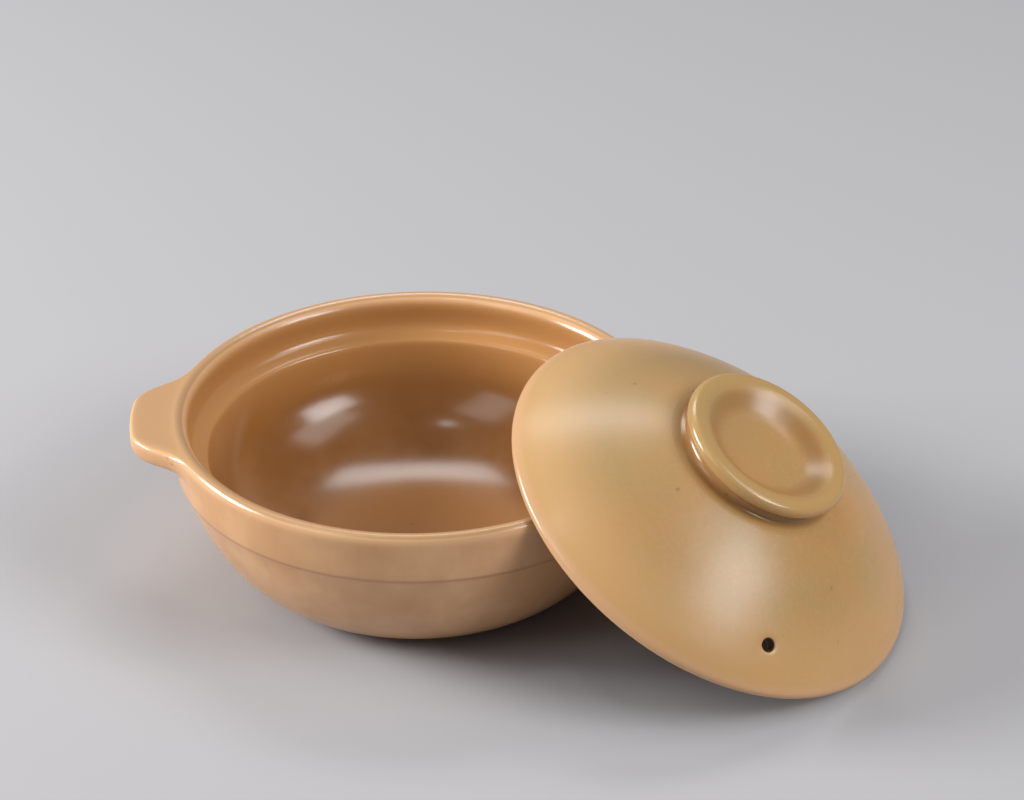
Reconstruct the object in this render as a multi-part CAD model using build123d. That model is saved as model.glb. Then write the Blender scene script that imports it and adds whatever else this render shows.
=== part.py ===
from build123d import *
import os
from math import cos, hypot, radians, sin

# A small covered clay casserole: a bowl with two ledge handles, and its lid leaned against the rim.
# Origin: centre of the foot ring, on the surface that the pot stands on.
# +X runs through the right handle and +Z is up. Lengths are in millimetres, angles in degrees.

# Bowl, outside
rim_radius = 80.0
pot_height = 57.0
lip_radius = 2.8
band_height = 16.8
band_foot_radius = 78.5
step_inset = 0.5
belly_taper = 18.0
belly_reach = 42.0
foot_radius = 45.0
foot_width = 6.0
foot_height = 1.8
foot_shoulder_reach = 5.0
foot_edge_radius = 0.6

# Bowl, inside: the seat that takes the lid, the wall and the floor
seat_wall_drop = 11.3
seat_wall_radius = 73.8
seat_width = 5.9
seat_fall = 2.9
seat_corner_radius = 1.8
seat_edge_radius = 2.0
floor_thickness = 6.2
floor_radius = 30.0
inner_wall_reach = 22.0
inner_floor_reach = 27.0

# Ledge handles
ear_reach = 12.3
ear_end_half_width = 11.8
ear_root_half_width = 33.0
ear_flank_hollow = 0.2
ear_corner_radius = 10.0
ear_top_drop = 0.5
ear_end_thickness = 7.2
ear_root_thickness = 7.8
ear_edge_radius = 2.4
ear_root_depth = 10.0

# Lid shell, in its own frame: z = 0 is the plane through the middle of its rounded edge
lid_radius = 71.0
lid_edge_radius = 2.1
lid_outer_slope = 42.0
lid_outer_reach = 14.0
lid_seat_height = 27.4
lid_seat_slope = 26.0
lid_seat_reach = 14.0
lid_crown_wall = 5.0
lid_inner_slope = 36.0
lid_inner_reach = 26.0
lid_inner_crown_reach = 24.0
vent_radius = 2.8
vent_edge_radius = 0.7
vent_share = 0.27
vent_bearing = -50.5

# Ring knob, in the lid's frame
knob_foot_radius = 26.6
knob_neck_radius = 25.0
knob_neck_height = 1.9
knob_band_radius = 27.6
knob_band_drop = 4.5
knob_top_radius = 27.9
knob_height = 8.4
knob_wall = 3.9
knob_dish_depth = 5.3
knob_dish_radius = 19.0
knob_edge_radius = 2.4
knob_under_radius = 0.5
knob_dish_corner_radius = 2.6

# Lean of the lid, which stands on the same surface as the pot and touches its lip
lean_tilt = 31.2
lean_bearing = -29.2
lean_centre_bearing = -24.2
lean_clearance = 0.3
lean_rounds = 40
lean_sides = 180
lean_stations = 12

# Places that several pieces share
lip_ring_radius = rim_radius - lip_radius
lip_ring_height = pot_height - lip_radius
band_bottom_height = pot_height - band_height
seat_edge_distance = seat_wall_radius - seat_width
seat_edge_height = pot_height - seat_wall_drop - seat_fall
floor_height = foot_height + floor_thickness
ear_root_radius = rim_radius - ear_root_depth
ear_end_radius = rim_radius + ear_reach
ear_top_height = pot_height - ear_top_drop
lid_ring_radius = lid_radius - lid_edge_radius


def outline(*points):
    return [Line(start, end) for start, end in zip(points, points[1:])]


def step_from(point, slope, distance):
    """Go a distance from a (radius, height) point, outward and down a slope."""
    run = distance * cos(radians(slope))
    fall = distance * sin(radians(slope))
    return Vector(point) + Vector(run, -fall)


def turned(edges, *roundings):
    """Turn a closed outline of (radius, height) points about Z, its named corners rounded first."""
    section = make_face(edges)
    for point, radius in roundings:
        corner = section.vertices().sort_by_distance(Vector(*point))[0]
        section = fillet(corner, radius)
    return revolve(Plane.XZ * section, Axis.Z)


def bowl_outside():
    """Outside of the bowl, from the bottom of the foot ring up to the top of the lip."""
    belly_top = (band_foot_radius - step_inset, band_bottom_height)
    belly_pull = step_from(belly_top, 90 + belly_taper, belly_reach)
    belly_foot = (foot_radius, foot_height)
    shoulder = (foot_radius + foot_shoulder_reach, foot_height)
    band_foot = (band_foot_radius, band_bottom_height)
    return [
        Line((foot_radius, 0), belly_foot),
        Bezier(belly_foot, shoulder, belly_pull, belly_top),
        Line(belly_top, band_foot),
        Line(band_foot, (rim_radius, lip_ring_height)),
        CenterArc((lip_ring_radius, lip_ring_height), lip_radius, 0, 90),
    ]


def pot_bowl():
    lip_inner = (lip_ring_radius - lip_radius, lip_ring_height)
    seat_corner = (seat_wall_radius, pot_height - seat_wall_drop)
    seat_edge = (seat_edge_distance, seat_edge_height)
    wall_pull = (seat_edge_distance, seat_edge_height - inner_wall_reach)
    floor_pull = (floor_radius + inner_floor_reach, floor_height)
    floor_edge = (floor_radius, floor_height)
    ring_inner = foot_radius - foot_width
    edges = bowl_outside()
    edges += [CenterArc((lip_ring_radius, lip_ring_height), lip_radius, 90, 90)]
    edges += outline(lip_inner, seat_corner, seat_edge)
    edges += [Bezier(seat_edge, wall_pull, floor_pull, floor_edge)]
    edges += outline(
        floor_edge,
        (0, floor_height),
        (0, foot_height),
        (ring_inner, foot_height),
        (ring_inner, 0),
        (foot_radius, 0),
    )
    return turned(
        edges,
        (seat_corner, seat_corner_radius),
        (seat_edge, seat_edge_radius),
        ((ring_inner, 0), foot_edge_radius),
        ((foot_radius, 0), foot_edge_radius),
    )


def bowl_filled():
    """The bowl as a full body, which the handles are cut to."""
    edges = bowl_outside()
    edges += outline((lip_ring_radius, pot_height), (0, pot_height), (0, 0), (foot_radius, 0))
    return turned(edges)


def ear_plan():
    """A handle seen from above: a wide root with slightly hollow flanks, and a narrower end."""
    root = (ear_root_radius, ear_root_half_width)
    end = (ear_end_radius + ear_edge_radius, ear_end_half_width)
    halfway = (
        (root[0] + end[0]) / 2,
        (root[1] + end[1]) / 2 - ear_flank_hollow,
    )
    flank = ThreePointArc(root, halfway, end)
    return make_face(
        [
            flank,
            Line(end, (end[0], -end[1])),
            mirror(flank, Plane.XZ),
            Line((root[0], -root[1]), root),
        ]
    )


def right_ear_handle():
    under_end = ear_top_height - ear_end_thickness
    under_root = ear_top_height - ear_root_thickness
    ledge = turned(
        outline(
            (ear_root_radius, ear_top_height),
            (ear_end_radius, ear_top_height),
            (ear_end_radius, under_end),
            (ear_root_radius, under_root),
            (ear_root_radius, ear_top_height),
        )
    )
    ear = ledge & extrude(Pos(0, 0, under_root) * ear_plan(), ear_root_thickness)
    corners = ear.edges().filter_by(Axis.Z).group_by(Axis.X)[-1]
    ear = fillet(corners, ear_corner_radius)
    rims = [edge for edge in ear.edges() if is_ear_rim(edge)]
    return fillet(rims, ear_edge_radius) - bowl_filled()


def is_ear_rim(edge):
    """Edges round the top and the underside of a handle, but not those of its buried root."""
    is_level = abs((edge % 0.5).Z) < sin(radians(45))
    return is_level and (edge @ 0.5).X > ear_root_radius + ear_edge_radius


def lid_edge_arc():
    """Rounded edge of the lid, from the outside of the shell round to its inside."""
    return CenterArc(
        (lid_ring_radius, 0),
        lid_edge_radius,
        90 - lid_outer_slope,
        lid_outer_slope - lid_inner_slope - 180,
    )


def lid_outside():
    edge = lid_edge_arc() @ 0
    seat = (knob_foot_radius, lid_seat_height)
    edge_pull = step_from(edge, lid_outer_slope, -lid_outer_reach)
    seat_pull = step_from(seat, lid_seat_slope, lid_seat_reach)
    return Bezier(edge, edge_pull, seat_pull, seat)


def lid_inside():
    edge = lid_edge_arc() @ 1
    crown = (0, lid_seat_height - lid_crown_wall)
    edge_pull = step_from(edge, lid_inner_slope, -lid_inner_reach)
    return Bezier(edge, edge_pull, (lid_inner_crown_reach, crown[1]), crown)


def lid_dome():
    edges = [lid_outside(), lid_edge_arc(), lid_inside()]
    edges += outline(
        (knob_foot_radius, lid_seat_height),
        (0, lid_seat_height),
        (0, lid_seat_height - lid_crown_wall),
    )
    return cut_vent(turned(edges))


def cut_vent(dome):
    """Bore the steam hole square to the outside of the dome and soften its outer edge."""
    mouth = lid_outside() @ vent_share
    slope = Vector(-1, 0).get_angle(lid_outside() % vent_share)
    place = Rot(Z=vent_bearing) * Pos(mouth.X, 0, mouth.Y) * Rot(Y=slope)
    bored = dome - place * Cylinder(vent_radius, 4 * lid_crown_wall)
    rim = bored.edges().sort_by_distance(place.position)[0]
    return fillet(rim, vent_edge_radius)


def lid_ring_knob():
    seat = lid_seat_height
    top = seat + knob_height
    dish = top - knob_dish_depth
    foot = (knob_foot_radius, seat)
    neck = (knob_neck_radius, seat + knob_neck_height)
    band = (knob_band_radius, top - knob_band_drop)
    shoulder = (knob_top_radius, top)
    brim = (knob_top_radius - knob_wall, top)
    dish_edge = (knob_dish_radius, dish)
    edges = outline(foot, neck, band, shoulder, brim, dish_edge, (0, dish), (0, seat), foot)
    return turned(
        edges,
        (neck, knob_under_radius),
        (band, knob_under_radius),
        (shoulder, knob_edge_radius),
        (brim, knob_edge_radius),
        (dish_edge, knob_dish_corner_radius),
    )


def leaned_point(radius, height, turn, reach):
    """A point of the lid, given in the lid's frame, when its centre is `reach` from the pot's axis."""
    tilt = radians(lean_tilt)
    bearing = radians(lean_bearing)
    centre_bearing = radians(lean_centre_bearing)
    fall = radius * cos(turn)
    across = radius * sin(turn)
    out = fall * cos(tilt) + height * sin(tilt)
    return (
        reach * cos(centre_bearing) + out * cos(bearing) - across * sin(bearing),
        reach * sin(centre_bearing) + out * sin(bearing) + across * cos(bearing),
        lid_centre_height() + height * cos(tilt) - fall * sin(tilt),
    )


def lid_centre_height():
    return lid_edge_radius + lid_ring_radius * sin(radians(lean_tilt))


def gap_to_lip(x, y, z):
    return hypot(hypot(x, y) - lip_ring_radius, z - lip_ring_height) - lip_radius


def gap_to_right_ear(x, y, z):
    """Distance to the handle's top and sides, taken as a tapered slab with rounded edges."""
    past_end = hypot(x, y) - ear_end_radius
    taper = (ear_root_half_width - ear_end_half_width) / (ear_end_radius - ear_root_radius)
    past_flank = abs(y) - ear_end_half_width + taper * past_end
    in_plan = (
        hypot(max(past_end + ear_corner_radius, 0), max(past_flank + ear_corner_radius, 0))
        - ear_corner_radius
    )
    above = z - ear_top_height
    return (
        hypot(max(in_plan + ear_edge_radius, 0), max(above + ear_edge_radius, 0)) - ear_edge_radius
    )


def lean_reach():
    """Slide the lid along the surface towards the pot until lean_clearance is left."""
    inside = lid_inside()
    stations = [inside @ (step / lean_stations) for step in range(lean_stations)]
    probes = [(point.X, point.Y, 0) for point in stations]
    probes += [(lid_ring_radius, 0, lid_edge_radius)]
    reach = ear_end_radius + lid_radius + lid_seat_height
    for _ in range(lean_rounds):
        nearest = reach
        for radius, height, thickness in probes:
            for side in range(lean_sides):
                point = leaned_point(radius, height, radians(360 * side / lean_sides), reach)
                gap = min(gap_to_lip(*point), gap_to_right_ear(*point)) - thickness
                nearest = min(nearest, gap)
        reach -= nearest - lean_clearance
    return reach


def lid_place():
    """Where the lid's own frame lies once it leans."""
    reach = lean_reach()
    x = reach * cos(radians(lean_centre_bearing))
    y = reach * sin(radians(lean_centre_bearing))
    return Pos(x, y, lid_centre_height()) * Rot(Z=lean_bearing) * Rot(Y=lean_tilt)


if __name__ == "__main__":
    os.makedirs("parts", exist_ok=True)
    ear = right_ear_handle()
    leaning = lid_place()
    pieces = {
        "pot_bowl": pot_bowl(),
        "left_ear_handle": Rot(Z=180) * ear,
        "right_ear_handle": ear,
        "lid_dome": leaning * lid_dome(),
        "lid_ring_knob": leaning * lid_ring_knob(),
    }
    for name, piece in pieces.items():
        export_step(piece, f"parts/{name}.step")
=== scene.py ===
import bpy
from math import atan2, cos, hypot, pi, radians, sin, tan
from mathutils import Matrix, Vector


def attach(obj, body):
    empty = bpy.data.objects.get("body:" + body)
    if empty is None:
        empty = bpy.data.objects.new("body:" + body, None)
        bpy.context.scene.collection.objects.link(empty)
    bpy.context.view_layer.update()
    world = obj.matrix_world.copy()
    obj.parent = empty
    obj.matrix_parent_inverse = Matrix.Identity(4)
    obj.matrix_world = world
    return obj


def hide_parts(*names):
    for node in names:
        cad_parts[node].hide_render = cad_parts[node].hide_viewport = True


mm = 0.001

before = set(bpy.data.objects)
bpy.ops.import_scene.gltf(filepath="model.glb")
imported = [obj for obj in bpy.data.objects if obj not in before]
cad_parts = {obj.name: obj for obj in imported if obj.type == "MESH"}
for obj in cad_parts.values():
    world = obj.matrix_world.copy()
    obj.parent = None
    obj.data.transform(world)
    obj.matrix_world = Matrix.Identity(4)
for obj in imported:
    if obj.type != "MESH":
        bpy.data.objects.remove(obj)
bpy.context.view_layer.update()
print("frame loaded:", sorted(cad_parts))


# Shared modelling steps

def arc(centre, radius, start, end, steps):
    turns = [radians(start + (end - start) * i / steps) for i in range(steps + 1)]
    return [(centre[0] + radius * cos(t), centre[1] + radius * sin(t)) for t in turns]


def sweep(a, b, c, d, shares):
    # points along a cubic curve from a to d, pulled towards b and c
    if isinstance(shares, int):
        shares = [i / shares for i in range(shares + 1)]
    return [
        tuple(
            (1 - t) ** 3 * a[k] + 3 * t * (1 - t) ** 2 * b[k] + 3 * t * t * (1 - t) * c[k] + t ** 3 * d[k]
            for k in (0, 1)
        )
        for t in shares
    ]


def downSlope(point, slope, distance):
    return (
        point[0] + distance * cos(radians(slope)),
        point[1] - distance * sin(radians(slope)),
    )


def editOnly(piece, mode):
    if bpy.context.object and bpy.context.object.mode != "OBJECT":
        bpy.ops.object.mode_set(mode="OBJECT")
    bpy.ops.object.select_all(action="DESELECT")
    piece.select_set(True)
    bpy.context.view_layer.objects.active = piece
    bpy.ops.object.mode_set(mode="EDIT")
    bpy.ops.mesh.select_mode(type=mode)
    bpy.ops.mesh.select_all(action="DESELECT")


def pick(piece, mode, wanted):
    # leaves the vertices or faces that are wanted selected, in edit mode
    editOnly(piece, mode)
    bpy.ops.object.mode_set(mode="OBJECT")
    parts = piece.data.vertices if mode == "VERT" else piece.data.polygons
    for part in parts:
        place = part.co if mode == "VERT" else part.center
        part.select = wanted(place / mm)
    bpy.ops.object.mode_set(mode="EDIT")


def move(x=0, y=0, z=0):
    bpy.ops.transform.translate(value=(x * mm, y * mm, z * mm))


def scaleFrom(point, x=1, y=1, z=1):
    bpy.ops.transform.resize(value=(x, y, z), center_override=[part * mm for part in point])


def throwOnWheel(name, outline, sides):
    # one thrown form: its half outline of (radius, height) in mm, spun about the upright axis
    bpy.ops.object.select_all(action="DESELECT")
    bpy.ops.mesh.primitive_plane_add(size=mm)
    piece = bpy.context.object
    piece.name = name
    bpy.ops.object.mode_set(mode="EDIT")
    bpy.ops.mesh.select_all(action="SELECT")
    bpy.ops.mesh.merge(type="CENTER")
    move(x=outline[0][0], z=outline[0][1])
    for last, here in zip(outline, outline[1:]):
        step = ((here[0] - last[0]) * mm, 0, (here[1] - last[1]) * mm)
        bpy.ops.mesh.extrude_region_move(TRANSFORM_OT_translate={"value": step})
    bpy.ops.mesh.select_all(action="SELECT")
    bpy.ops.mesh.spin(steps=sides, angle=2 * pi, center=(0, 0, 0), axis=(0, 0, 1))
    bpy.ops.mesh.select_all(action="SELECT")
    bpy.ops.mesh.remove_doubles(threshold=0.01 * mm)
    bpy.ops.mesh.normals_make_consistent(inside=False)
    # a subdivided ring runs a little inside its corners, which this makes up for
    grow = 3 / (2 + cos(2 * pi / sides))
    scaleFrom((0, 0, 0), x=grow, y=grow)
    bpy.ops.object.mode_set(mode="OBJECT")
    return piece


def smoothClay(piece, levels):
    bpy.ops.object.mode_set(mode="OBJECT")
    bpy.ops.object.select_all(action="DESELECT")
    piece.select_set(True)
    bpy.context.view_layer.objects.active = piece
    softening = piece.modifiers.new("softening", "SUBSURF")
    softening.levels = levels
    softening.render_levels = levels
    bpy.ops.object.modifier_apply(modifier="softening")
    bpy.ops.object.shade_smooth()


# Pot: bowl and both handles in one skin

pot = {
    "sides": 64,
    "rimRadius": 80.0,
    "height": 57.0,
    "lipRadius": 2.8,
    "bandHeight": 16.8,
    "bandFootRadius": 78.5,
    "stepInset": 0.5,
    "bellyTaper": 18.0,
    "bellyReach": 42.0,
    "footRadius": 45.0,
    "footWidth": 6.0,
    "footHeight": 1.8,
    "footShoulderReach": 5.0,
    "seatWallDrop": 11.3,
    "seatWallRadius": 73.8,
    "seatWidth": 5.9,
    "seatFall": 2.9,
    "floorHeight": 8.0,
    "floorRadius": 21.0,
    "innerWallReach": 24.0,
    "innerFloorReach": 22.0,
}

# each stage of a handle: how far out, how far its flanks stand back, half width, top and underside
earStages = [
    {"reach": 80.0, "sag": 6.1, "halfWidth": 30.6, "top": 56.7, "under": 49.2},
    {"reach": 82.3, "sag": 5.0, "halfWidth": 26.0, "top": 56.5, "under": 49.2},
    {"reach": 85.8, "sag": 3.9, "halfWidth": 22.6, "top": 56.5, "under": 49.25},
    {"reach": 89.7, "sag": 2.2, "halfWidth": 18.7, "top": 56.5, "under": 49.3},
    {"reach": 92.5, "sag": 1.0, "halfWidth": 13.3, "top": 56.5, "under": 49.3},
]
ear = {
    "columns": 4,
    "topBand": (55.9, 58),
    "topInset": 1.2,
    "underBand": (48, 50.2),
    "underInset": 0.9,
    "lastStageReach": 90.9,
}


def potOutline():
    p = pot
    lipCentre = (p["rimRadius"] - p["lipRadius"], p["height"] - p["lipRadius"])
    seatEdge = (p["seatWallRadius"] - p["seatWidth"], p["height"] - p["seatWallDrop"] - p["seatFall"])
    seatCorner = (p["seatWallRadius"], p["height"] - p["seatWallDrop"])
    floorEdge = (p["floorRadius"], p["floorHeight"])
    wallPull = (seatEdge[0], seatEdge[1] - p["innerWallReach"])
    floorPull = (p["floorRadius"] + p["innerFloorReach"], p["floorHeight"])
    bandFoot = (p["bandFootRadius"], p["height"] - p["bandHeight"])
    bellyTop = (bandFoot[0] - p["stepInset"], bandFoot[1])
    bellyPull = downSlope(bellyTop, 90 + p["bellyTaper"], p["bellyReach"])
    bellyFoot = (p["footRadius"], p["footHeight"])
    shoulder = (p["footRadius"] + p["footShoulderReach"], p["footHeight"])
    ringInner = p["footRadius"] - p["footWidth"]
    inside = sweep(floorEdge, floorPull, wallPull, seatEdge, 12)
    seatSlope = atan2(p["seatFall"], p["seatWidth"])
    outline = [(0, p["floorHeight"]), (7, p["floorHeight"]), (14, p["floorHeight"])]
    outline += inside[:-1]
    # the seat: soft edge, sloping ledge, soft corner, wall up to the lip
    outline += [
        (seatEdge[0], seatEdge[1] - 1.0),
        (seatEdge[0] + 0.5, seatEdge[1] + 0.45),
        (seatEdge[0] + 1.7 * cos(seatSlope), seatEdge[1] + 1.7 * sin(seatSlope)),
        (seatEdge[0] + 3.2 * cos(seatSlope), seatEdge[1] + 3.2 * sin(seatSlope)),
        (seatCorner[0] - 1.9 * cos(seatSlope), seatCorner[1] - 1.9 * sin(seatSlope) + 0.05),
        (seatCorner[0] - 0.55, seatCorner[1] + 0.35),
        (seatCorner[0] - 0.05, seatCorner[1] + 1.9),
        (seatCorner[0] + 0.1, seatCorner[1] + 4.4),
    ]
    # the lip: a broad soft roll inside, a tighter one outside
    outline += arc((lipCentre[0] + 0.8, lipCentre[1] - 1.4), 4.25, 180, 90, 3)
    outline += arc((lipCentre[0] + 0.35, lipCentre[1] + 0.35), 2.5, 60, 0, 2)
    outline += [
        (p["rimRadius"] - 0.15, 51.8),
        (p["rimRadius"] - 0.45, 49.2),
        (p["rimRadius"] - 0.7, 46.4),
        (p["rimRadius"] - 1.05, 43.0),
        (bandFoot[0] + 0.1, bandFoot[1] + 0.9),
        (bandFoot[0], bandFoot[1] + 0.1),
        (bellyTop[0], bellyTop[1] - 0.3),
    ]
    outline += sweep(bellyTop, bellyPull, shoulder, bellyFoot, 14)[1:]
    outline += [
        (p["footRadius"] + 0.1, p["footHeight"] - 0.5),
        (p["footRadius"], 0.5),
        (p["footRadius"] - 0.7, 0),
        (p["footRadius"] - p["footWidth"] / 2, 0),
        (ringInner + 0.6, 0),
        (ringInner, 0.5),
        (ringInner - 0.1, p["footHeight"] - 0.4),
        (ringInner - 0.8, p["footHeight"]),
        (20, p["footHeight"]),
        (0, p["footHeight"]),
    ]
    return outline


def pullEar(piece, side):
    # the handle is pulled out of the band, stage by stage
    span = radians(360 / pot["sides"] * (ear["columns"] + 0.2))
    first = earStages[0]

    def inBand(place):
        outside = hypot(place.x, place.y) > pot["rimRadius"] - pot["lipRadius"]
        near = abs(atan2(place.y, side * place.x)) < span
        return outside and near and first["under"] < place.z < first["top"]

    pick(piece, "FACE", inBand)
    for last, here in zip(earStages, earStages[1:]):
        bpy.ops.mesh.extrude_region_move()
        scaleFrom(
            (side * last["reach"], 0, last["top"]),
            x=here["sag"] / last["sag"],
            y=here["halfWidth"] / last["halfWidth"],
            z=(here["top"] - here["under"]) / (last["top"] - last["under"]),
        )
        move(x=side * (here["reach"] - last["reach"]), z=here["top"] - last["top"])

    # its top and underside stand back a little, which rounds the edge all the way round
    def onEar(place):
        return side * place.x > 0 and hypot(place.x, place.y) > pot["rimRadius"] + 0.3

    for (low, high), inset in ((ear["topBand"], ear["topInset"]), (ear["underBand"], ear["underInset"])):
        narrowing = 1 - inset / earStages[3]["halfWidth"]
        pick(piece, "VERT", lambda place: onEar(place) and low < place.z < high)
        scaleFrom((0, 0, 0), y=narrowing)
        pick(
            piece,
            "VERT",
            lambda place: onEar(place) and low < place.z < high and side * place.x > ear["lastStageReach"],
        )
        move(x=-side * inset)


def makePot():
    piece = throwOnWheel("clay_pot", potOutline(), pot["sides"])
    pullEar(piece, 1)
    pullEar(piece, -1)
    smoothClay(piece, 2)
    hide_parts("pot_bowl", "left_ear_handle", "right_ear_handle")
    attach(piece, "pot")
    print("pot:", len(piece.data.polygons), "faces")
    return piece


# Lid: shell and ring knob in one skin, made in the lid's own frame and then leaned

lid = {
    "sides": 64,
    "radius": 71.0,
    "edgeRadius": 2.1,
    "outerSlope": 43.5,
    "outerReach": 16.5,
    "seatRadius": 28.4,
    "seatHeight": 26.8,
    "seatSlope": 19.0,
    "seatReach": 15.0,
    "crownHeight": 22.4,
    "innerSlope": 40.0,
    "innerReach": 26.0,
    "innerCrownReach": 26.0,
}
knob = {
    "neckRadius": 24.9,
    "bandBottom": 31.9,
    "bandRadius": 27.8,
    "top": 35.8,
        "dishHeight": 30.2,
}
vent = {
    "radius": 2.05,
    "outerShare": 0.732,
    "innerShare": 0.172,
    "bearing": -50.9,
    "flare": 0.7,
    "turnIn": 0.4,
    "softening": 0.8,
    "skinDepth": 1.5,
    "facesWithin": 5.6,
    "inset": 2.6,
    "edgeWithin": 4.8,
}
lean = {"tilt": 31.2, "bearing": -29.2, "centreBearing": -24.2, "reach": 99.295}


def leanPlace():
    # where the middle of the leaning lid's edge circle lies
    ring = lid["radius"] - lid["edgeRadius"]
    height = lid["edgeRadius"] + ring * sin(radians(lean["tilt"]))
    toward = radians(lean["centreBearing"])
    return Vector((lean["reach"] * cos(toward), lean["reach"] * sin(toward), height)) * mm


def lidOutside():
    p = lid
    ring = (p["radius"] - p["edgeRadius"], 0)
    edge = arc(ring, p["edgeRadius"], 90 - p["outerSlope"], 0, 1)[0]
    seat = (p["seatRadius"], p["seatHeight"])
    return [
        seat,
        downSlope(seat, p["seatSlope"], p["seatReach"]),
        downSlope(edge, p["outerSlope"], -p["outerReach"]),
        edge,
    ]


def lidInside():
    p = lid
    ring = (p["radius"] - p["edgeRadius"], 0)
    edge = arc(ring, p["edgeRadius"], -90 - p["innerSlope"], 0, 1)[0]
    crown = (0, p["crownHeight"])
    return [
        edge,
        downSlope(edge, p["innerSlope"], -p["innerReach"]),
        (p["innerCrownReach"], crown[1]),
        crown,
    ]


def knobOutline():
    p = knob
    return [
        (0, p["dishHeight"]),
        (4.5, p["dishHeight"]),
        (9, p["dishHeight"]),
        (12, p["dishHeight"] + 0.2),
        (14.5, p["dishHeight"] + 0.8),
        (16.5, p["dishHeight"] + 1.75),
        (18.6, p["dishHeight"] + 3.0),
        (20.6, p["dishHeight"] + 4.25),
        (22.1, p["top"] - 0.6),
        (23.4, p["top"]),
        (24.8, p["top"] + 0.15),
        (26.0, p["top"] + 0.05),
        (p["bandRadius"] - 0.75, p["top"] - 0.3),
        (p["bandRadius"] - 0.05, p["top"] - 1.1),
        (p["bandRadius"] + 0.1, p["top"] - 2.3),
        (p["bandRadius"] + 0.05, p["bandBottom"] + 0.9),
        (p["bandRadius"] - 0.45, p["bandBottom"] - 0.1),
        (p["neckRadius"] + 1.0, p["bandBottom"] - 0.9),
        (p["neckRadius"], p["bandBottom"] - 1.8),
        (p["neckRadius"] + 0.2, p["bandBottom"] - 3.2),
        (p["neckRadius"] + 0.9, p["bandBottom"] - 4.2),
        (p["neckRadius"] + 2.1, p["bandBottom"] - 4.75),
    ]


def lidOutline():
    # from the middle of the dish, over the knob and the dome, round the edge and back to the crown inside
    share = vent["outerShare"]
    outerShares = [0, 0.07, 0.16, 0.27, 0.39, 0.5, share - 0.1, share, share + 0.1, 0.9, 1]
    share = vent["innerShare"]
    innerShares = [0, 0.045, share - 0.075, share, share + 0.078, 0.34, 0.43, 0.52, 0.62, 0.72, 0.82, 0.92, 1]
    ring = (lid["radius"] - lid["edgeRadius"], 0)
    bead = arc(ring, lid["edgeRadius"] * 1.03, 90 - lid["outerSlope"], -90 - lid["innerSlope"], 7)
    outside = sweep(*lidOutside(), outerShares)
    inside = sweep(*lidInside(), innerShares)
    return knobOutline() + outside[:-1] + bead + inside[1:]


def openVent(piece, share, curve, into):
    # opens one skin of the lid in a round hole, and turns its edge a little way into the wall
    before, here, after = sweep(*curve, [share - 0.01, share, share + 0.01])
    slope = atan2(before[1] - after[1], after[0] - before[0])
    mouth = Vector((here[0], 0, here[1]))
    way = Vector((sin(slope), 0, cos(slope))) * into

    def near(place, reach):
        # on this skin only, not on the one behind it
        return (place - mouth).length < reach and abs((place - mouth).dot(way)) < vent["skinDepth"]

    pick(piece, "FACE", lambda place: near(place, vent["facesWithin"]))
    bpy.ops.mesh.inset(thickness=vent["inset"] * mm)
    bpy.ops.mesh.delete(type="FACE")
    pick(piece, "VERT", lambda place: near(place, vent["edgeWithin"]))
    nearby = [(place - mouth).length for place in pickedPlaces(piece)]
    bpy.ops.transform.tosphere(value=1)
    # subdivision draws a ring of eight inwards, which this makes up for
    cage = vent["radius"] * 6 / (4 + 2 * cos(pi / 4))
    wide = cage + vent["flare"]
    size = wide / (sum(nearby) / len(nearby))
    scaleFrom(mouth, x=size, y=size, z=size)
    bpy.ops.mesh.extrude_region_move()
    scaleFrom(mouth, x=cage / wide, y=cage / wide, z=cage / wide)
    move(*(way * vent["turnIn"]))
    bpy.ops.mesh.extrude_region_move()
    move(*(way * vent["softening"]))
    return mouth + way * (vent["turnIn"] + vent["softening"])


def pickedPlaces(piece):
    bpy.ops.object.mode_set(mode="OBJECT")
    places = [v.co / mm for v in piece.data.vertices if v.select]
    bpy.ops.object.mode_set(mode="EDIT")
    return places


def cutVent(piece):
    outer = openVent(piece, vent["outerShare"], lidOutside(), -1)
    inner = openVent(piece, 1 - vent["innerShare"], lidInside()[::-1], 1)
    along = (inner - outer).normalized()
    depth = (inner - outer).length

    def onRings(place):
        far = (place - outer).dot(along)
        aside = (place - outer - along * far).length
        return -vent["turnIn"] < far < depth + vent["turnIn"] and aside < vent["radius"] * 1.4

    pick(piece, "VERT", onRings)
    bpy.ops.mesh.bridge_edge_loops()
    bpy.ops.mesh.select_all(action="SELECT")
    bpy.ops.mesh.normals_make_consistent(inside=False)
    bpy.ops.object.mode_set(mode="OBJECT")


def makeLid():
    piece = throwOnWheel("clay_lid", lidOutline(), lid["sides"])
    cutVent(piece)
    smoothClay(piece, 2)
    piece.rotation_euler = (0, 0, radians(vent["bearing"]))
    bpy.ops.object.transform_apply(location=True, rotation=True, scale=True)
    leanIt(piece)
    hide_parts("lid_dome", "lid_ring_knob")
    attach(piece, "lid")
    print("lid:", len(piece.data.polygons), "faces")
    return piece


def leanIt(piece):
    # carries the lid from its own frame to where it leans, and keeps the place in the mesh
    piece.rotation_euler = (0, radians(lean["tilt"]), radians(lean["bearing"]))
    piece.location = leanPlace()
    bpy.ops.object.select_all(action="DESELECT")
    piece.select_set(True)
    bpy.context.view_layer.objects.active = piece
    bpy.ops.object.transform_apply(location=True, rotation=True, scale=True)


# Colours and finishes

def colour(hexCode):
    parts = [int(hexCode[i:i + 2], 16) / 255 for i in (0, 2, 4)]
    return [part / 12.92 if part <= 0.04045 else ((part + 0.055) / 1.055) ** 2.4 for part in parts] + [1]


# settings of a range that comes in and goes out softly
smooth = {"interpolation_type": "SMOOTHSTEP"}


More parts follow.
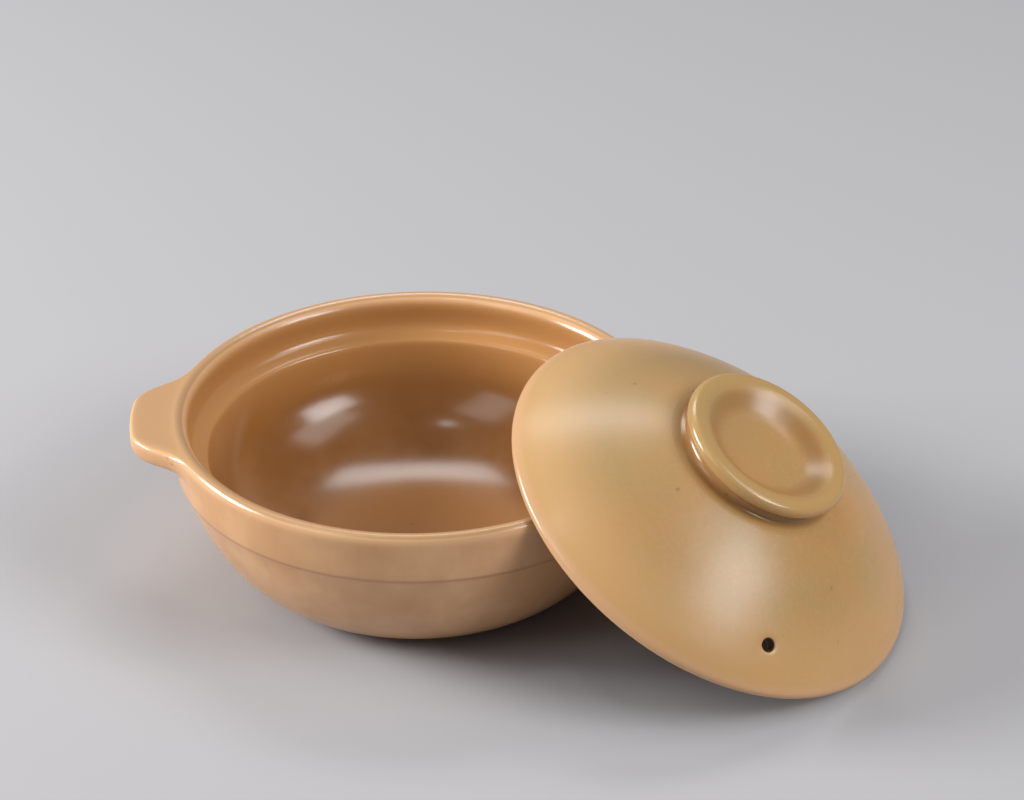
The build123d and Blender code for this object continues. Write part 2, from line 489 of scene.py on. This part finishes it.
def addNode(tree, kind, inputs=None, **settings):
    # one node with its settings; an input takes a plain value, a socket, or a node for its first output
    node = tree.nodes.new("ShaderNode" + kind)
    for name, value in settings.items():
        setattr(node, name, value)
    for key, value in (inputs or {}).items():
        sockets = [socket for socket in node.inputs if socket.enabled]
        socket = sockets[key] if isinstance(key, int) else next(s for s in sockets if s.name == key)
        if isinstance(value, bpy.types.Node):
            value = next(output for output in value.outputs if output.enabled)
        if isinstance(value, bpy.types.NodeSocket):
            tree.links.new(value, socket)
        else:
            socket.default_value = value
    return node


def newFinish(name):
    finish = bpy.data.materials.new(name)
    finish.use_nodes = True
    finish.node_tree.nodes.clear()
    return finish, finish.node_tree


# Iron glaze on thrown stoneware: glossy, pooled to a dark caramel inside and thin and tan outside; the inside
# colours are also darkened as painted shade in the bowl
potGlaze = {
    "outside": "CC9A6A",
    "outsideWarm": "DAA97B",
    "outsideStreak": "C08B5C",
    "edge": "DDAE80",
    "levelTop": "B78F66",
    "stepLine": "A5714F",
    # the inside colours below are pooled glaze, made darker still as painted shade in the bowl
    "gallery": "BB8751",
    "inside": "8B5A29",
    "insideDeep": "9A6A3E",
    "floor": "B3804F",
    "bareClay": "C7A07C",
    "speck": "6E4526",
    "outsideRoughness": 0.22,
    "insideRoughness": 0.2,
    "clayRoughness": 0.8,
    "ior": 1.52,
    "cloudSize": 24.0,
    "streakSize": 5.0,
    "speckSpacing": 6.0,
    "peelSize": 2.2,
    "peelDepth": 0.012,
    "ringSpacing": 5.5,
    "ringDepth": 0.03,
    "ringStretch": (0.04, 0.04, 1),
    "runStretch": (1, 1, 0.16),
    # heights in mm between which each change of colour comes in
    "edgeHeights": (53.2, 55.4),
    "levelHeights": (55.9, 56.35),
    "stepHeight": 40.2,
    "deepHeights": (34, 9),
    "floorHeights": (11, 8.4),
    "galleryHeights": (26, 44),
    "lipHeights": (53.4, 56.4),
    "bareHeights": (3.3, 2.8),
}
# middle of the wall: height in mm at each radius in mm, which parts the inside from the outside
wallMiddle = [
    (0, 5), (40, 5), (45, 5.8), (52, 7), (58, 10.5), (63, 15.5),
    (68, 26), (72, 35), (74, 42), (76, 49), (77.2, 57), (80, 60),
]


def heightAndRadius(tree, place):
    # height above the base and distance from the upright axis, both in mm
    up = addNode(tree, "SeparateXYZ", {0: place}).outputs["Z"]
    height = addNode(tree, "Math", {0: up, 1: 1000}, operation="MULTIPLY")
    flat = addNode(tree, "VectorMath", {0: place, 1: (1000, 1000, 0)}, operation="MULTIPLY")
    return height, addNode(tree, "VectorMath", {0: flat}, operation="LENGTH").outputs["Value"]


def aboveWall(tree, height, radius, middlePoints, lowest):
    # how far above the middle of the wall, in mm; the curve runs over 80 mm of radius and 60 mm of height
    share = addNode(tree, "Math", {0: radius, 1: 80}, operation="DIVIDE")
    middle = addNode(tree, "FloatCurve", {"Value": share})
    curve = middle.mapping.curves[0]
    places = [(away / 80, (up - lowest) / 60) for away, up in middlePoints]
    curve.points[0].location = places[0]
    curve.points[1].location = places[-1]
    for spot in places[1:-1]:
        curve.points.new(*spot)
    for point in curve.points:
        point.handle_type = "VECTOR"
    middle.mapping.update()
    lift = addNode(tree, "Math", {0: height, 1: -lowest}, operation="ADD")
    return addNode(tree, "Math", {0: middle, 1: -60, 2: lift}, operation="MULTIPLY_ADD")


def makePotGlaze():
    g = potGlaze
    edgeFrom, edgeTo = g["edgeHeights"]
    levelFrom, levelTo = g["levelHeights"]
    deepFrom, deepTo = g["deepHeights"]
    floorFrom, floorTo = g["floorHeights"]
    galleryFrom, galleryTo = g["galleryHeights"]
    lipFrom, lipTo = g["lipHeights"]
    bareFrom, bareTo = g["bareHeights"]
    finish, tree = newFinish("ironGlazedStoneware")
    place = addNode(tree, "TexCoord").outputs["Object"]
    height, radius = heightAndRadius(tree, place)

    # inside or outside of the wall
    above = aboveWall(tree, height, radius, wallMiddle, 0)
    inner = addNode(tree, "MapRange", {0: above, 1: -1.2, 2: 1.2}, **smooth)

    # clouds of thicker and thinner glaze, soft runs down the wall, and iron specks
    cloud = addNode(
        tree, "TexNoise", {"Vector": place, "Scale": 1000 / g["cloudSize"], "Detail": 3, "Roughness": 0.55}
    )
    cloudy = addNode(tree, "MapRange", {0: cloud, 1: 0.38, 2: 0.62})
    long = addNode(tree, "Mapping", {"Vector": place, "Scale": g["runStretch"]})
    run = addNode(
        tree, "TexNoise", {"Vector": long, "Scale": 1000 / g["streakSize"], "Detail": 2, "Roughness": 0.5}
    )
    runs = addNode(tree, "MapRange", {0: run, 1: 0.42, 2: 0.8, 4: 0.18})
    cells = addNode(tree, "TexVoronoi", {"Vector": place, "Scale": 1000 / g["speckSpacing"]})
    small = addNode(tree, "MapRange", {0: cells.outputs["Distance"], 1: 0.12, 2: 0.07})
    rare = addNode(tree, "MapRange", {0: cells.outputs["Color"], 1: 0.74, 2: 0.78, 4: 0.28})
    specks = addNode(tree, "Math", {0: small, 1: rare}, operation="MULTIPLY")

    outside = addNode(
        tree, "Mix", {0: cloudy, 1: colour(g["outside"]), 2: colour(g["outsideWarm"])}, data_type="RGBA"
    )
    outside = addNode(tree, "Mix", {0: runs, 1: outside, 2: colour(g["outsideStreak"])}, data_type="RGBA")
    # the glaze runs thin over the edges; the level tops are darkened as painted shade, and the step shows as a
    # fine dark line of thinner glaze and painted shade under it
    onEdge = addNode(tree, "MapRange", {0: height, 1: edgeFrom, 2: edgeTo, 4: 0.7}, **smooth)
    outside = addNode(tree, "Mix", {0: onEdge, 1: outside, 2: colour(g["edge"])}, data_type="RGBA")
    # the level tops are darkened: painted shade
    onTop = addNode(tree, "MapRange", {0: height, 1: levelFrom, 2: levelTo, 4: 0.9}, **smooth)
    outside = addNode(tree, "Mix", {0: onTop, 1: outside, 2: colour(g["levelTop"])}, data_type="RGBA")
    # the fine dark line at the step: thinner glaze and painted shade under the step
    offLine = addNode(tree, "Math", {0: height, 1: g["stepHeight"]}, operation="SUBTRACT")
    offLine = addNode(tree, "Math", {0: offLine}, operation="ABSOLUTE")
    onLine = addNode(tree, "MapRange", {0: offLine, 1: 1.3, 2: 0.1, 4: 0.4}, **smooth)
    outside = addNode(tree, "Mix", {0: onLine, 1: outside, 2: colour(g["stepLine"])}, data_type="RGBA")
    # inside the bowl: pooled glaze, darkened further as painted shade
    deep = addNode(tree, "MapRange", {0: height, 1: deepFrom, 2: deepTo})
    deeper = addNode(tree, "Math", {0: deep, 1: cloudy}, operation="MULTIPLY")
    within = addNode(
        tree, "Mix", {0: deeper, 1: colour(g["inside"]), 2: colour(g["insideDeep"])}, data_type="RGBA"
    )
    onFloor = addNode(tree, "MapRange", {0: height, 1: floorFrom, 2: floorTo, 4: 0.9}, **smooth)
    within = addNode(tree, "Mix", {0: onFloor, 1: within, 2: colour(g["floor"])}, data_type="RGBA")
    onGallery = addNode(tree, "MapRange", {0: height, 1: galleryFrom, 2: galleryTo}, **smooth)
    within = addNode(tree, "Mix", {0: onGallery, 1: within, 2: colour(g["gallery"])}, data_type="RGBA")
    nearLip = addNode(tree, "MapRange", {0: height, 1: lipFrom, 2: lipTo}, **smooth)
    within = addNode(tree, "Mix", {0: nearLip, 1: within, 2: outside}, data_type="RGBA")
    glaze = addNode(tree, "Mix", {0: inner, 1: outside, 2: within}, data_type="RGBA")
    glaze = addNode(tree, "Mix", {0: specks, 1: glaze, 2: colour(g["speck"])}, data_type="RGBA")

    # the foot ring and what it encloses are wiped clean before firing
    ragged = addNode(tree, "Math", {0: cloud, 1: 1.6, 2: height}, operation="MULTIPLY_ADD")
    bare = addNode(tree, "MapRange", {0: ragged, 1: bareFrom, 2: bareTo})
    skin = addNode(tree, "Mix", {0: bare, 1: glaze, 2: colour(g["bareClay"])}, data_type="RGBA")
    gloss = addNode(tree, "MapRange", {0: inner, 3: g["outsideRoughness"], 4: g["insideRoughness"]})
    rough = addNode(tree, "Mix", {0: bare, 1: gloss, 2: g["clayRoughness"]})

    # faint throwing rings under the glaze, and the fine peel of its surface
    level = addNode(tree, "Mapping", {"Vector": place, "Scale": g["ringStretch"]})
    rings = addNode(tree, "TexNoise", {"Vector": level, "Scale": 1000 / g["ringSpacing"]})
    peel = addNode(tree, "TexNoise", {"Vector": place, "Scale": 1000 / g["peelSize"], "Detail": 1})
    wavy = addNode(tree, "Bump", {"Height": rings, "Distance": g["ringDepth"] * mm, "Strength": 1})
    fine = addNode(
        tree, "Bump", {"Height": peel, "Distance": g["peelDepth"] * mm, "Strength": 1, "Normal": wavy}
    )
    surface = addNode(
        tree, "BsdfPrincipled", {"Base Color": skin, "Roughness": rough, "IOR": g["ior"], "Normal": fine}
    )
    addNode(tree, "OutputMaterial", {"Surface": surface})
    return finish


# Satin iron glaze of the lid: a little matt and ochre outside, pooled brown inside, and dark in the steam
# hole: dark glaze and painted shade in the hole
lidGlaze = {
    "outside": "BC8D55",
    "outsideKhaki": "B18F59",
    "outsideWarm": "C49566",
    "greyer": "9A825B",
    "edge": "CFA178",
    "crest": "B9965F",
    "poolAndShade": "9A6E3C",
    "inside": "8A6034",
    "rim": "D4A670",
    "vent": "54341A",
    "speck": "6B4828",
    "roughness": 0.32,
    "knobRoughness": 0.2,
    "insideRoughness": 0.18,
    "ventRoughness": 0.6,
    "ior": 1.5,
    "cloudSize": 26.0,
    "mottleSize": 1.6,
    "speckSpacing": 8.0,
    "peelSize": 1.4,
    "peelDepth": 0.008,
    # radii and heights in mm between which each change of colour comes in
    "rimRadii": (46, 68),
    "edgeRadii": (68.4, 70.2),
    "crestHeights": (34.4, 35.4),
    "grooveHeights": (31.2, 29.6),
    "neckRadii": (28.2, 26.4),
    "dishRadii": (13.5, 18),
    "dishHeights": (35.2, 33.6),
    "holeRadii": (2.45, 2.1),
}
# middle of the lid's wall: height in mm at each radius in mm
lidMiddle = [
    (0, 25), (24, 25), (28.4, 22.9), (35, 20.7), (42, 17.7), (48, 14.7),
    (54, 11.2), (60, 7.2), (64, 4.2), (67, 1.7), (70.2, -1.6), (80, -2.8),
]


def makeLidGlaze():
    g = lidGlaze
    rimFrom, rimTo = g["rimRadii"]
    edgeFrom, edgeTo = g["edgeRadii"]
    crestFrom, crestTo = g["crestHeights"]
    grooveFrom, grooveTo = g["grooveHeights"]
    neckFrom, neckTo = g["neckRadii"]
    dishFrom, dishTo = g["dishRadii"]
    wallFrom, wallTo = g["dishHeights"]
    holeFrom, holeTo = g["holeRadii"]
    finish, tree = newFinish("satinGlazedStoneware")
    world = addNode(tree, "TexCoord").outputs["Object"]
    place = addNode(
        tree,
        "Mapping",
        {
            "Vector": world,
            "Location": leanPlace(),
            "Rotation": (0, radians(lean["tilt"]), radians(lean["bearing"])),
        },
        vector_type="TEXTURE",
    )
    height, radius = heightAndRadius(tree, place)
    above = aboveWall(tree, height, radius, lidMiddle, -10)
    inner = addNode(tree, "MapRange", {0: above, 1: 0.8, 2: -0.8}, **smooth)

    cloud = addNode(
        tree, "TexNoise", {"Vector": place, "Scale": 1000 / g["cloudSize"], "Detail": 3, "Roughness": 0.55}
    )
    cloudy = addNode(tree, "MapRange", {0: cloud, 1: 0.36, 2: 0.64})
    mottle = addNode(
        tree, "TexNoise", {"Vector": place, "Scale": 1000 / g["mottleSize"], "Detail": 2, "Roughness": 0.6}
    )
    mottled = addNode(tree, "MapRange", {0: mottle, 1: 0.45, 2: 0.75, 4: 0.5})
    cells = addNode(tree, "TexVoronoi", {"Vector": place, "Scale": 1000 / g["speckSpacing"]})
    small = addNode(tree, "MapRange", {0: cells.outputs["Distance"], 1: 0.1, 2: 0.06})
    rare = addNode(tree, "MapRange", {0: cells.outputs["Color"], 1: 0.7, 2: 0.74, 4: 0.35})
    specks = addNode(tree, "Math", {0: small, 1: rare}, operation="MULTIPLY")

    outside = addNode(
        tree, "Mix", {0: cloudy, 1: colour(g["outside"]), 2: colour(g["outsideKhaki"])}, data_type="RGBA"
    )
    outside = addNode(tree, "Mix", {0: mottled, 1: outside, 2: colour(g["outsideWarm"])}, data_type="RGBA")
    # the side that leans on the pot is made greyer and darker
    sideways = addNode(tree, "SeparateXYZ", {0: place}).outputs["X"]
    side = addNode(tree, "MapRange", {0: sideways, 1: 0.015, 2: -0.06, 4: 0.7})
    outside = addNode(tree, "Mix", {0: side, 1: outside, 2: colour(g["greyer"])}, data_type="RGBA")
    toRim = addNode(tree, "MapRange", {0: radius, 1: rimFrom, 2: rimTo, 4: 0.6}, **smooth)
    outside = addNode(tree, "Mix", {0: toRim, 1: outside, 2: colour(g["rim"])}, data_type="RGBA")
    onEdge = addNode(tree, "MapRange", {0: radius, 1: edgeFrom, 2: edgeTo, 4: 0.7}, **smooth)
    outside = addNode(tree, "Mix", {0: onEdge, 1: outside, 2: colour(g["edge"])}, data_type="RGBA")
    onCrest = addNode(tree, "MapRange", {0: height, 1: crestFrom, 2: crestTo, 4: 0.7}, **smooth)
    outside = addNode(tree, "Mix", {0: onCrest, 1: outside, 2: colour(g["crest"])}, data_type="RGBA")
    # the glaze pools in the groove under the band, and it is darkened there as painted shade too
    low = addNode(tree, "MapRange", {0: height, 1: grooveFrom, 2: grooveTo, 4: 0.8}, **smooth)
    neck = addNode(tree, "MapRange", {0: radius, 1: neckFrom, 2: neckTo}, **smooth)
    beyond = addNode(tree, "MapRange", {0: radius, 1: 23, 2: 24})
    groove = addNode(tree, "Math", {0: low, 1: neck}, operation="MULTIPLY")
    groove = addNode(tree, "Math", {0: groove, 1: beyond}, operation="MULTIPLY")
    outside = addNode(tree, "Mix", {0: groove, 1: outside, 2: colour(g["poolAndShade"])}, data_type="RGBA")
    # it pools too on the wall of the dish, darkened as painted shade as well
    inDish = addNode(tree, "MapRange", {0: radius, 1: dishFrom, 2: dishTo}, **smooth)
    atCrest = addNode(tree, "MapRange", {0: radius, 1: 24.2, 2: 23.4})
    offCrest = addNode(tree, "MapRange", {0: height, 1: wallFrom, 2: wallTo, 4: 0.55}, **smooth)
    shaded = addNode(tree, "Math", {0: inDish, 1: offCrest}, operation="MULTIPLY")
    shaded = addNode(tree, "Math", {0: shaded, 1: atCrest}, operation="MULTIPLY")
    outside = addNode(tree, "Mix", {0: shaded, 1: outside, 2: colour(g["poolAndShade"])}, data_type="RGBA")
    glaze = addNode(tree, "Mix", {0: inner, 1: outside, 2: colour(g["inside"])}, data_type="RGBA")
    glaze = addNode(tree, "Mix", {0: specks, 1: glaze, 2: colour(g["speck"])}, data_type="RGBA")

    # how far from the axis of the steam hole
    share = vent["outerShare"]
    before, here, after = sweep(*lidOutside(), [share - 0.01, share, share + 0.01])
    slope = atan2(before[1] - after[1], after[0] - before[0])
    turn = radians(vent["bearing"])
    mouth = addNode(
        tree,
        "Mapping",
        {
            "Vector": place,
            "Location": (here[0] * mm * cos(turn), here[0] * mm * sin(turn), here[1] * mm),
            "Rotation": (0, slope, turn),
        },
        vector_type="TEXTURE",
    )
    across = addNode(tree, "VectorMath", {0: mouth, 1: (1000, 1000, 0)}, operation="MULTIPLY")
    away = addNode(tree, "VectorMath", {0: across}, operation="LENGTH").outputs["Value"]
    inHole = addNode(tree, "MapRange", {0: away, 1: holeFrom, 2: holeTo}, **smooth)
    # the steam hole is painted dark brown: dark glaze and painted shade in the hole
    skin = addNode(tree, "Mix", {0: inHole, 1: glaze, 2: colour(g["vent"])}, data_type="RGBA")

    # the dome is satin, the knob and the edge are glossier
    onKnob = addNode(tree, "MapRange", {0: radius, 1: 31, 2: 28}, **smooth)
    offDish = addNode(tree, "MapRange", {0: radius, 1: 21, 2: 25, 3: 0.2}, **smooth)
    toEdge = addNode(tree, "MapRange", {0: radius, 1: 63, 2: 70, 4: 0.8}, **smooth)
    glossy = addNode(tree, "Math", {0: onKnob, 1: offDish, 2: toEdge}, operation="MULTIPLY_ADD")
    gloss = addNode(tree, "MapRange", {0: glossy, 3: g["roughness"], 4: g["knobRoughness"]})
    gloss = addNode(tree, "Mix", {0: inner, 1: gloss, 2: g["insideRoughness"]})
    gloss = addNode(tree, "Mix", {0: inHole, 1: gloss, 2: g["ventRoughness"]})
    peel = addNode(tree, "TexNoise", {"Vector": place, "Scale": 1000 / g["peelSize"], "Detail": 2})
    fine = addNode(tree, "Bump", {"Height": peel, "Distance": g["peelDepth"] * mm, "Strength": 1})
    surface = addNode(
        tree, "BsdfPrincipled", {"Base Color": skin, "Roughness": gloss, "IOR": g["ior"], "Normal": fine}
    )
    addNode(tree, "OutputMaterial", {"Surface": surface})
    return finish


def dress(piece, finish):
    piece.data.materials.clear()
    piece.data.materials.append(finish)


clayPot = makePot()
clayLid = makeLid()
dress(clayPot, makePotGlaze())
dress(clayLid, makeLidGlaze())
print("glazed")


# Studio: plain pale floor, soft lamps and the camera

studio = {
    "floorColour": "ADACAE",
    "skyColour": "F4F6FF",
    "skyStrength": 0.17,
    "lampDistance": 1.5,
    "lampTarget": (0.03, 0, 0.04),
}
# soft boxes: where each stands in degrees round the pot and above it, its half width and half height as
# the pot sees them, and how bright its face is
lamps = [
    {"name": "back", "bearing": 88, "height": 57, "wide": 15, "tall": 6.5, "glow": 7},
    {"name": "frontRight", "bearing": -32, "height": 35, "wide": 13, "tall": 9, "glow": 10},
    {"name": "right", "bearing": -14, "height": 50, "wide": 16, "tall": 10, "glow": 3},
    {"name": "frontLeft", "bearing": -146, "height": 45, "wide": 10, "tall": 16, "glow": 2.3},
    {"name": "left", "bearing": 174, "height": 23, "wide": 13, "tall": 9, "glow": 27},
    {"name": "small", "bearing": -140, "height": 74, "wide": 1, "tall": 1, "glow": 60},
]
view = {
    "aim": (30.33, 0.87, 57.0),
    "away": 967.78,
    "turn": -3.7,
    "pitch": 29.866,
    "roll": -0.275,
    "focalPixels": 3000,
    "frameWidth": 1024,
}


def layFloor():
    bpy.ops.object.select_all(action="DESELECT")
    bpy.ops.mesh.primitive_plane_add(size=12)
    ground = bpy.context.object
    ground.name = "floor"
    finish, tree = newFinish("paleFloor")
    skin = addNode(
        tree,
        "BsdfPrincipled",
        {"Base Color": colour(studio["floorColour"]), "Roughness": 1, "Specular IOR Level": 0},
    )
    addNode(tree, "OutputMaterial", {"Surface": skin.outputs["BSDF"]})
    dress(ground, finish)


def hangLamps():
    away = studio["lampDistance"]
    for lamp in lamps:
        data = bpy.data.lights.new(lamp["name"], "AREA")
        data.shape = "RECTANGLE"
        data.size = 2 * away * tan(radians(lamp["wide"]))
        data.size_y = 2 * away * tan(radians(lamp["tall"]))
        data.energy = lamp["glow"] * pi * data.size * data.size_y
        light = bpy.data.objects.new(lamp["name"], data)
        bpy.context.collection.objects.link(light)
        flat = cos(radians(lamp["height"]))
        way = Vector((
            flat * cos(radians(lamp["bearing"])),
            flat * sin(radians(lamp["bearing"])),
            sin(radians(lamp["height"])),
        ))
        light.location = way * away + Vector(studio["lampTarget"])
        light.rotation_euler = way.to_track_quat("Z", "Y").to_euler()


def setCamera():
    data = bpy.data.cameras.new("photographer")
    data.sensor_width = 36
    data.lens = view["focalPixels"] / view["frameWidth"] * data.sensor_width
    camera = bpy.data.objects.new("photographer", data)
    bpy.context.collection.objects.link(camera)
    stand = (
        Matrix.Translation(Vector(view["aim"]) * mm)
        @ Matrix.Rotation(radians(view["turn"]), 4, "Z")
        @ Matrix.Rotation(radians(90 - view["pitch"]), 4, "X")
        @ Matrix.Rotation(radians(view["roll"]), 4, "Z")
        @ Matrix.Translation((0, 0, view["away"] * mm))
    )
    camera.matrix_world = stand
    bpy.context.scene.camera = camera


def setSky():
    world = bpy.data.worlds.new("studio")
    bpy.context.scene.world = world
    world.use_nodes = True
    tree = world.node_tree
    tree.nodes.clear()
    glow = addNode(
        tree, "Background", {"Color": colour(studio["skyColour"]), "Strength": studio["skyStrength"]}
    )
    addNode(tree, "OutputWorld", {"Surface": glow.outputs["Background"]})


layFloor()
hangLamps()
setSky()
setCamera()
bpy.context.scene.view_settings.view_transform = "Standard"
print("studio set")
